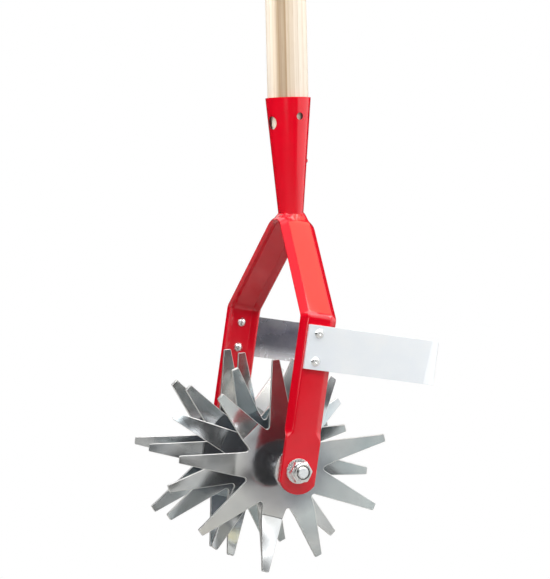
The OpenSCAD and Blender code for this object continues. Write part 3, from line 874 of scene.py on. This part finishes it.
# Painted shade: the colour darkens towards the hub, as a dark reflection of the shaded washers.
from_axle = object_place(tree, (1, 0, 1), (-axle.x, 0, -axle.z))
hub_shade_reach = add(tree, "VectorMath", {"operation": "LENGTH"}, i0=from_axle).outputs["Value"]
hub_shade_share = add(tree, "MapRange", i0=hub_shade_reach)
hub_shade_share.inputs[2].default_value = hub_shade_r
hub_painted_shade = ramp(tree, hub_shade_share.outputs[0], [(0.0, (0.64, 0.64, 0.66)), (0.5, (0.66, 0.65, 0.68)),
                                             (0.72, (0.74, 0.73, 0.76)), (1.0, (1.0, 1.0, 1.0))])
tree.links.new(blend(tree, 1.0, clouded, hub_painted_shade, "MULTIPLY"), shader.inputs["Base Color"])
tree.links.new(span(tree, noise(tree, place, 220, 4.0, 0.65), 0.08, 0.24), shader.inputs["Roughness"])
bump(tree, shader, noise(tree, place, 20, 1.0), 1.0, 0.005)

cut_edge, tree, shader = material("star_cut_edge", (0.82, 0.82, 0.81), 0.38, 1.0)
tree.links.new(span(tree, noise(tree, object_place(tree), 900, 3.0), 0.28, 0.5), shader.inputs["Roughness"])
bump(tree, shader, noise(tree, object_place(tree), 1600, 2.0), 0.2, 0.0002)


def set_inputs(modifier, values):
    """Sets a node modifier's inputs by their names."""
    for item in modifier.node_group.interface.items_tree:
        if item.in_out == "INPUT" and item.name in values:
            modifier[item.identifier] = values[item.name]


wheel_nodes = star_tree()
for number, star_turn in enumerate(star_turns, 1):
    node = f"star_{number}"
    middle = (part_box(node)[0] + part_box(node)[1]) / 2
    wheel = bpy.data.objects.new(f"{node}_sheet", sector_mesh)
    bpy.context.scene.collection.objects.link(wheel)
    repeat = wheel.modifiers.new("tines", "NODES")
    repeat.node_group = wheel_nodes
    sizes = {"Tines": tines, "Bend Start": bend_start, "Bend Radius": bend_mid_r, "Bend Angle": bend_angle,
             "Turn": math.radians(star_turn), "Place": (axle.x, middle.y, axle.z),
             "Sheet": star_zinc, "Edge": cut_edge}
    set_inputs(repeat, sizes)
    baked(wheel)
    smooth_to(wheel, 40)
    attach(wheel, f"{node}_wheel")
    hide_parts(node)


# Studio: a plain pale floor under the star wheels, with soft rectangular lights round the tool's head.
# The camera sees floor and background as plain white, as in the photograph.
# The metal reflects the floor as a plain pale grey, and the room round it as dark.
floor_gap = 0.0001
floor_z = min(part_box(f"star_{number}")[0].z for number in (1, 2, 3, 4)) - floor_gap
floor_half = 8.0
head_z = -0.18
floor_corners = [(-floor_half, -floor_half, floor_z), (floor_half, -floor_half, floor_z),
                 (floor_half, floor_half, floor_z), (-floor_half, floor_half, floor_z)]
floor = solid_from("floor", floor_corners, [(0, 1, 2, 3)])
pale, tree, shader = material("pale_floor", (0.5, 0.5, 0.5), 0.9)
shader.inputs["Specular IOR Level"].default_value = 0.0
glow = add(tree, "Emission", Color=(1, 1, 1, 1), Strength=1.0)
seen = add(tree, "LightPath").outputs["Is Camera Ray"]
mixed = add(tree, "MixShader", i0=seen, i1=shader.outputs[0], i2=glow.outputs[0])
tree.links.new(mixed.outputs[0], tree.nodes["Material Output"].inputs["Surface"])
floor.data.materials.append(pale)

world = bpy.data.worlds.new("studio")
bpy.context.scene.world = world
world.use_nodes = True
tree = world.node_tree
room = tree.nodes["Background"]
seen = add(tree, "LightPath").outputs["Is Camera Ray"]
tree.links.new(blend(tree, seen, (0.03, 0.03, 0.031), (1.0, 1.0, 1.0)), room.inputs["Color"])


def softbox(name, turn, rise, distance, size, radiance, color=(1, 1, 1), aim=head_z, spread=180):
    """A rectangular light round the tool's head: turn is from the front to the right, in degrees."""
    lamp = bpy.data.lights.new(name, "AREA")
    lamp.shape = "RECTANGLE"
    lamp.size = size[0]
    lamp.size_y = size[1]
    lamp.energy = radiance * math.pi * size[0] * size[1]
    lamp.color = color
    lamp.spread = math.radians(spread)
    box = bpy.data.objects.new(name, lamp)
    bpy.context.scene.collection.objects.link(box)
    turn = math.radians(turn)
    rise = math.radians(rise)
    way = Vector((math.sin(turn) * math.cos(rise), -math.cos(turn) * math.cos(rise), math.sin(rise)))
    box.location = Vector((0, 0, head_z)) + way * distance
    box.rotation_euler = (Vector((0, 0, aim)) - box.location).to_track_quat("-Z", "Y").to_euler()
    box.visible_camera = False


# Turn and rise in degrees, distance and size in metres, brightness, and a tint where there is one
softbox("top_box", 94, 66, 1.15, (0.9, 0.9), 1.8, (1.0, 0.88, 0.56))
softbox("key_box", -2, 62, 1.3, (1.45, 1.1), 3.75)
softbox("left_box", -85, 40, 0.95, (0.5, 0.4), 1.2, aim=0.08, spread=44)
softbox("left_top_box", -109, 68, 1.15, (0.6, 0.6), 0.6)
softbox("right_box", 54, 42, 0.9, (0.4, 0.4), 0.7, aim=0.1, spread=50)
softbox("right_wall", 70, 20, 1.25, (2.2, 1.15), 1.15)
softbox("front_card", 20, 32, 1.2, (0.55, 0.6), 1.1)
softbox("low_card", -32, 9, 1.2, (0.4, 0.25), 3.0)
softbox("back_box", 180, 65, 1.8, (1.4, 0.8), 0.8)
softbox("back_wall", 180, 42, 1.7, (1.4, 1.0), 1.4, aim=0.3)


# Camera: a long lens nearly level with the tool's head, looking along the axle from a little to its left.
# Its place, turn and lens come from a fit to the photograph.
view_turn = math.radians(-20.45)
view_rise = math.radians(2.69)
view_roll = math.radians(-1.42)
view_distance = 1.34691
view_lift = 0.120
view_target = axle + Vector((0, 0, view_lift))
view_offset = (-0.01475, 0.00473)
focal_px = 1974.88
picture_h = 579
back = Vector((math.sin(view_turn) * math.cos(view_rise), -math.cos(view_turn) * math.cos(view_rise),
               math.sin(view_rise)))
right = Vector((math.cos(view_turn), math.sin(view_turn), 0))
up = back.cross(right)
right, up = (right * math.cos(view_roll) + up * math.sin(view_roll),
             up * math.cos(view_roll) - right * math.sin(view_roll))
spot = view_target + back * view_distance - right * view_offset[0] - up * view_offset[1]
lens = bpy.data.cameras.new("camera")
lens.sensor_fit = "VERTICAL"
lens.sensor_height = 36
lens.lens = focal_px * lens.sensor_height / picture_h
lens.clip_end = 50
camera = bpy.data.objects.new("camera", lens)
bpy.context.scene.collection.objects.link(camera)
camera.matrix_world = Matrix.Translation(spot) @ Matrix((right, up, back)).transposed().to_4x4()
bpy.context.scene.camera = camera
bpy.context.scene.view_settings.view_transform = "Standard"
